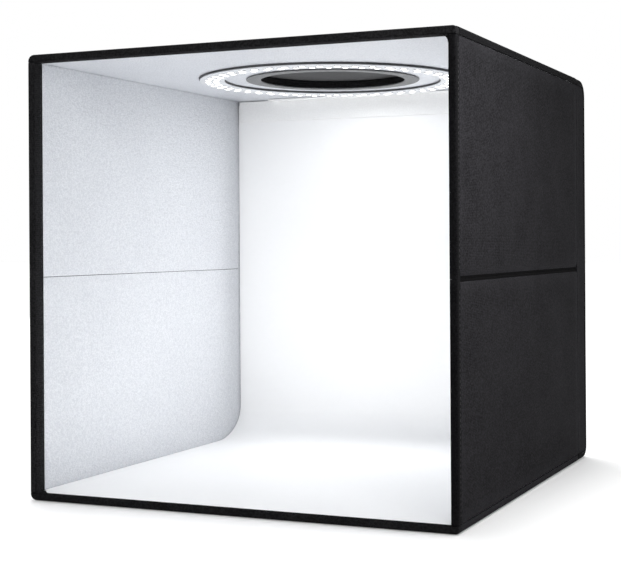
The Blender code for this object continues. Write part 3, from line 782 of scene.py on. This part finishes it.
carrier_edge = smooth_finish("dark_ring_edge", (0.020, 0.020, 0.022), (0.085, 0.085, 0.09), 900.0, 0.5)
white_board = smooth_finish("white_lamp_board", (0.60, 0.615, 0.64), (0.67, 0.68, 0.695), 700.0, 0.4)
chip_white = smooth_finish("white_chip_body", (0.80, 0.80, 0.80), (0.88, 0.88, 0.88), 1500.0, 0.35)
chip_glow = smooth_finish("glowing_chip", (0.90, 0.88, 0.80), (0.95, 0.93, 0.86), 1500.0, 0.4, glow=3.0)
solder_metal = smooth_finish("solder", (0.55, 0.56, 0.58), (0.72, 0.73, 0.75), 1800.0, 0.3, metallic=0.9)


def small_blocks(name, seats, reach, sections, material, body):
    """Set a small eased block on every seat, by half its size and by heights with their insets."""
    vertices = []
    faces = []
    for x, y, turn in seats:
        radial = Vector((math.cos(turn), math.sin(turn), 0))
        tangent = Vector((-math.sin(turn), math.cos(turn), 0))
        faces += ring_faces(len(vertices), 8, len(sections))
        for height, inset in sections:
            ease = 0.00025 + inset / 2
            across = reach[0] - inset
            along = reach[1] - inset
            for near, far in ((1, 1), (1, -1), (-1, -1), (-1, 1)):
                steps = ((along - ease, across), (along, across - ease))
                for step_along, step_across in steps if near * far > 0 else reversed(steps):
                    vertices.append(Vector((x, y, height)) + radial * near * step_along
                                    + tangent * far * step_across)
    fit_piece(finish_piece(name, vertices, faces, material, flat_angle=30), body)


port_band("lamp_ring_carrier", "led_carrier",
          flat_profile(ring_inner, ring_outer, carrier_low.z, carrier_high.z, 0.0001), carrier_edge)
port_band("lamp_ring_board", "led_board",
          flat_profile(board_inner, board_outer, board_face, board_high.z, 0.00012), white_board)
chip_seats = []
for chip_index in range(chips_in_row):
    for row_radius, row_shift in ((board_inner + row_inset, 0.0), (board_outer - row_inset, 0.5)):
        chip_turn = 2 * math.pi * (chip_index + row_shift) / chips_in_row
        chip_seats.append((port_middle[0] + row_radius * math.cos(chip_turn),
                           port_middle[1] + row_radius * math.sin(chip_turn), chip_turn))
solder_seats = [(x - math.sin(turn) * offset, y + math.cos(turn) * offset, turn) for x, y, turn in chip_seats
                for offset in (-solder_offset, solder_offset)]
small_blocks("lamp_chip_bodies", chip_seats, chip_reach,
             ((board_face, 0.0), (chip_bottom + 0.00012, 0.0), (chip_bottom, 0.00012)),
             chip_white, "roof")
small_blocks("lamp_chip_lenses", chip_seats, chip_reach,
             ((chip_bottom - 0.00001, 0.0003), (chip_bottom - 0.0001, 0.0005), (chip_bottom - 0.00016, 0.001)),
             chip_glow, "roof")
small_blocks("lamp_chip_solder", solder_seats, (0.00034, 0.0014),
             ((board_face, 0.0), (board_face - 0.00012, 0.00006), (board_face - 0.00020, 0.00020)),
             solder_metal, "roof")
soft_lamp("ring_lamp", (*port_middle, chip_bottom - 0.002), (*port_middle, 0.0), 0.185, 0.118,
          172, "DISK", (0.97, 0.985, 1.0), "roof")
# The white sheet throws the ring's light back: upward from the floor, and forward from the back.
soft_lamp("floor_sheet_light", (0, -0.055, 0.011), (0, -0.055, 0.3), 0.19, 0.225, body="base")
soft_lamp("back_sheet_light", (0, 0.118, 0.15), (0, -0.2, 0.15), 0.22, 0.24, body="base")


# Grommet. A small black rubber ring with a flange on both faces of the roof, where the lamp ring's lead
# would leave. No lead shows, so none is made.
rubber = smooth_finish("black_rubber", (0.012, 0.012, 0.012), (0.032, 0.032, 0.033), 600.0, 0.55)
dress_node("cable_grommet", rubber)


# Rear tray. A shallow tray of cloth over board closes the back, silver inside, with round upper and lower rear
# corners. It hangs on a woven tape let into the roof cloth, and swings up.
tray_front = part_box("rear_skin")[0].y
tray_back = half_depth
tray_upper = 0.013
tray_lower = 0.009
tray_side = 0.0032
tray_band = 0.0056
smallest_corner = 0.0006


def tray_section(inset, pillow=0.0):
    """Give the tray's section in Y and Z, from its lower front edge round the back to the upper one."""
    lower = max(tray_lower - inset, smallest_corner)
    upper = max(tray_upper - inset, smallest_corner)
    low, high, back = inset, cube_height - inset, tray_back - inset
    points = [(tray_front, low), ((tray_front + back - lower) / 2, low)]
    points += corner_arc((back - lower, low + lower), lower, 270, 360, 10)
    for step in range(1, 24):
        share = step / 24
        swell = math.sin(math.pi * share) ** 0.7 * pillow
        points.append((back + swell, low + lower + (high - low - lower - upper) * share))
    points += corner_arc((back - upper, high - upper), upper, 0, 90, 10)
    return points + [((tray_front + back - upper) / 2, high), (tray_front, high)]


def tray_shell(name, node, outside, material, pillow=0.0, ripple=0.0):
    """Make one open tray between an outer offset and its cloth's thickness."""
    vertices = []
    rim = []
    for offset, swell in ((outside, pillow), (outside + cloth_thickness, 0.0)):
        soft = max(tray_side - offset, smallest_corner)
        edge = half_width - offset
        stations = [(edge - soft * (1 - math.cos(angle)), soft * (1 - math.sin(angle)))
                    for angle in np.radians(np.linspace(0, 90, 7))]
        across = [(x, 0.0) for x in np.linspace(soft - edge, edge - soft, 27)[1:-1]]
        for x, inset in [(-x, inset) for x, inset in stations] + across + stations[::-1]:
            calm = math.cos(math.pi * x / (2 * edge)) ** 0.5 if abs(x) < edge else 0.0
            for y, z in tray_section(offset + inset, swell * calm):
                shift = ripple * noise.noise(Vector((x, y, z)) * 28) * calm if y > tray_back - 0.006 else 0.0
                vertices.append((x, y + shift, z))
                rim.append(min(1.0, (y - tray_front) / 0.006))
    outer, inner = np.arange(len(vertices)).reshape(2, -1, len(tray_section(0.0)))
    faces = []
    for grid in (outer, inner):
        quads = np.stack([grid[:-1, :-1], grid[:-1, 1:], grid[1:, 1:], grid[1:, :-1]], axis=-1)
        faces += [*quads.reshape(-1, 4), grid[0], grid[-1, ::-1]]
    for end in (0, -1):
        quads = np.stack([outer[:-1, end], outer[1:, end], inner[1:, end], inner[:-1, end]], axis=-1)
        faces += [*quads, [outer[end, 0], outer[end, -1], inner[end, -1], inner[end, 0]]]
    fit_piece(finish_piece(name, vertices, faces, material, rim), "rear_tray", node)


def tray_binding(name, side):
    """Bind the tray's edge on one side with tape over its round rim, sewn on at the side."""
    turn = np.radians(np.linspace(0, 90, 7))
    edge = half_width - tray_side
    proud_edge = half_width + binding_proud

    def round_rim(reach, angles):
        return [(edge + reach * math.cos(angle), tray_side - reach * math.sin(angle)) for angle in angles]

    outline = [(proud_edge, tray_band), (proud_edge, tray_side),
               *round_rim(tray_side + binding_proud, turn[1:]), (edge - tray_band / 2, -binding_proud),
               (edge - tray_band / 2, 0.0), *round_rim(tray_side, turn[::-1]), (half_width, tray_band)]
    sections = [tray_section(inset) for x, inset in outline]
    rings = [[(side * x, *section[station]) for (x, inset), section in zip(outline, sections)]
             for station in range(len(sections[0]))]
    # Painted shade: the binding takes the darker copy of the black tape, so the tray's rounded side edges read
    # as in shade.
    fit_piece(solid_from("tray_binding_" + name, rings, painted_shade_tape), "rear_tray")
    seats = [((side * proud_edge, y, z), (side, 0, 0)) for y, z in tray_section(tray_band - 0.0012)[1:-1]]
    stitch_line("tray_stitches_" + name, seats, "rear_tray")


def flat_tape(name, node):
    """Lay a flat tape on the roof where its frame node lies."""
    low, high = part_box(node)
    tape = cloth_over(name, [(high.x, -high.z), (low.x, -high.z)], low.y, high.y,
                      lambda a, b, c: (a, c, -b), black_tape, roll=0.0004, ripple=0.00004)
    fit_piece(tape, "roof", node)


tray_shell("rear_tray_cloth", "rear_skin", 0.0, black_cloth, 0.0010, 0.00025)
for tray_side_name, tray_side_sign in sides:
    tray_binding(tray_side_name, tray_side_sign)
tray_shell("rear_tray_silver", "rear_lining", panel_thickness - cloth_thickness, silver_lining)
dress_node("rear_board", black_cloth)
flat_tape("rear_hinge_cloth", "rear_hinge_tape")


# Backdrop. A white satin sheet lies on the floor from just behind the front tape, sweeps up behind the walls in
# a soft curve, and hangs by its top edge from an off-white strip sewn under the ceiling.
sheet_thickness = 0.0004
sheet_low, sheet_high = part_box("backdrop_sheet")
hanger_low, hanger_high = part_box("backdrop_hanger")
sweep_run = 0.040
sweep_rise = 0.026
sheet_side = half_width - panel_thickness - panel_gap
sheet_back = sheet_high.y - sheet_thickness
sheet_floor = sheet_low.z + sheet_thickness
sheet_trim = 0.0026
sheet_white = smooth_finish(
    "white_sweep_sheet", (0.96, 0.96, 0.96), (0.98, 0.98, 0.98), 260.0, 0.5, relief=0.00001)
strip_white = woven("off_white_strip", (0.90, 0.90, 0.895), (0.965, 0.965, 0.96), 0.0007, 0.00006, 0.7, 0.1)

sweep_curve = [(sheet_back - sweep_run + sweep_run * math.sin(angle),
                sheet_floor + sweep_rise - sweep_rise * math.cos(angle))
               for angle in np.radians(np.linspace(90, 0, 25))]
sweep_path = [(sheet_back, sheet_high.z), *sweep_curve, (sheet_low.y, sheet_floor)]
sweep_sheet = cloth_over("sweep_sheet", sweep_path, -sheet_side, sheet_side, lambda a, b, c: (c, a, b),
                         sheet_white, thickness=sheet_thickness, roll=0.00018, ripple=0.0, step=0.008)
notch_side = -sheet_side + corner_radii["base"] + panel_gap
notch_back = panel_front + tape_inside + panel_gap
notch_trim = notch_side + sheet_trim
notch_front = sheet_low.y - far_out
notch_outline = [
    (-sheet_side - far_out, notch_front), (notch_trim, notch_front), (notch_trim, sheet_low.y),
    (notch_side, panel_front + corner_depth + panel_gap), (-sheet_side, notch_back),
    (-sheet_side - far_out, notch_back)]
cut_out(sweep_sheet, [prism(notch_outline, 0.0, 0.02)])
fit_piece(sweep_sheet, "base", "backdrop_sheet")
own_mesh(sweep_sheet)

strip_leg_low = hanger_high.z - cloth_thickness
strip_face = hanger_high.y - cloth_thickness
strip_leg_end = hanger_high.x * 0.78
hanging_strip = cloth_over(
    "hanging_strip", [(hanger_low.y, strip_leg_low), (strip_face, strip_leg_low), (strip_face, hanger_low.z)],
    hanger_low.x, hanger_high.x, lambda a, b, c: (c, a, b), strip_white, roll=0.0003, ripple=0.00004)
strip_front, strip_top = hanger_low.y - far_out, hanger_high.z + 0.01
cut_out(hanging_strip, [
    box_tool((near, strip_front, strip_leg_low - 0.002), (far, strip_face - 0.00002, strip_top))
    for near, far in ((-far_out * 4, -strip_leg_end), (strip_leg_end, far_out * 4))])
fit_piece(hanging_strip, "roof", "backdrop_hanger")


# Port flap. A square of black cloth over a felted lining, bound with tape all round, closes the port from
# above. It is sewn to a hinge tape on its left, and two hook pads hold its free corners.
flap_low, flap_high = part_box("flap_border")
flap_middle = ((flap_low + flap_high) / 2)[:2]
flap_reach = (flap_high.x - flap_low.x) / 2
flap_corner = 0.012
flap_band = 0.006
inside_band = flap_band + panel_gap
tuft_height = 0.00035
tufts_in_row = 14
felt = woven("black_felt", (0.009, 0.009, 0.009), (0.034, 0.034, 0.036), 0.0012, 0.00010, 0.9, 0.10)
hook_black = woven("black_hook_pad", (0.008, 0.008, 0.009), (0.040, 0.040, 0.042), 0.0009, 0.00030, 0.9, 0.4)


def flap_ring(inset):
    """Give the flap's rounded square, pulled in by an inset."""
    corner = max(flap_corner - inset, smallest_corner)
    reach = flap_reach - inset - corner
    points = []
    for quarter, (side_x, side_y) in enumerate(((1, 1), (-1, 1), (-1, -1), (1, -1))):
        centre = (flap_middle[0] + side_x * reach, flap_middle[1] + side_y * reach)
        points += corner_arc(centre, corner, 90 * quarter, 90 * quarter + 90, 8)
    return points


flap_profile = [(0.0002, flap_low.z + 0.0002), (0.0006, flap_low.z), (flap_band - 0.0003, flap_low.z),
                (flap_band, flap_low.z + 0.0003), (flap_band, flap_high.z - 0.0003),
                (flap_band - 0.0003, flap_high.z), (0.0030, flap_high.z + 0.00008), (0.0008, flap_high.z),
                (0.0002, flap_high.z - 0.0003), (0.0, (flap_low.z + flap_high.z) / 2)]
fit_piece(solid_from("flap_binding", stacked(flap_ring, flap_profile), black_tape, hollow=True),
          "port_flap", "flap_border")
flap_crown = ((0.004, 0.0001), (0.012, 0.00022), (0.025, 0.00030), (0.042, 0.00034))
for layer_name, layer_node, layer_finish, crown in (("flap_cloth", "flap_skin", black_cloth, flap_crown),
                                                    ("flap_felt", "flap_lining", felt, ())):
    layer_low, layer_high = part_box(layer_node)
    layer_profile = [(inside_band + 0.0002, layer_low.z), (inside_band, layer_low.z + 0.0002),
                     (inside_band, layer_high.z - 0.0003), (inside_band + 0.0003, layer_high.z),
                     *[(inside_band + inset, layer_high.z + lift) for inset, lift in crown]]
    flap_layer = solid_from(layer_name, stacked(flap_ring, layer_profile), layer_finish)
    if layer_node == "flap_lining":
        loops = [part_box("flap_loop_" + end) for end in ("front", "back")]
        cut_out(flap_layer, [
            box_tool((low.x - panel_gap, low.y - panel_gap, low.z - 0.002),
                     (high.x + panel_gap, high.y + panel_gap, high.z + 0.0001)) for low, high in loops])
    fit_piece(flap_layer, "port_flap", layer_node)
flap_line = flap_ring(flap_band - 0.0013)
flap_seats = [((x, y, flap_high.z + 0.00004), (0, 0, 1)) for x, y in flap_line + flap_line[:1]]
stitch_line("flap_stitches", flap_seats, "port_flap")
flat_tape("flap_hinge_cloth", "flap_hinge_tape")
hinge_low, hinge_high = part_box("flap_hinge_tape")
hinge_seats = [((hinge_low.x + 0.0022, y, hinge_high.z), (0, 0, 1))
               for y in (hinge_low.y + 0.003, hinge_high.y - 0.003)]
stitch_line("flap_hinge_stitches", hinge_seats, "roof")


def pad_cloth(node, body, way):
    """Make a hook or loop pad: a woven ground, and short dense tufts on its upper or lower face."""
    low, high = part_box(node)
    pitch = (high.x - low.x) / tufts_in_row
    root, tip = (low.z, high.z) if way > 0 else (high.z, low.z)
    foot = tip - way * tuft_height
    middle, reach = (low + high) / 2, (high - low) / 2
    corners = ((1, 0.9), (0.9, 1), (-0.9, 1), (-1, 0.9), (-1, -0.9), (-0.9, -1), (0.9, -1), (1, -0.9))
    rings = [[(middle.x + reach.x * a, middle.y + reach.y * b, z) for a, b in corners] for z in (root, foot)]
    fit_piece(solid_from(node + "_ground", rings, hook_black), body, node)
    seats = [(low.x + (column + 0.5) * pitch, low.y + (row + 0.5) * pitch, 0.7 * ((column + row) % 2))
             for column in range(tufts_in_row) for row in range(tufts_in_row)]
    small_blocks(node + "_tufts", seats, (pitch * 0.33, pitch * 0.36),
                 ((foot - way * 0.00002, 0.0), (foot + way * tuft_height * 0.6, 0.00003), (tip, 0.00008)),
                 hook_black, body)


for pad_end in ("front", "back"):
    pad_cloth("flap_hook_" + pad_end, "roof", 1)
    pad_cloth("flap_loop_" + pad_end, "port_flap", -1)
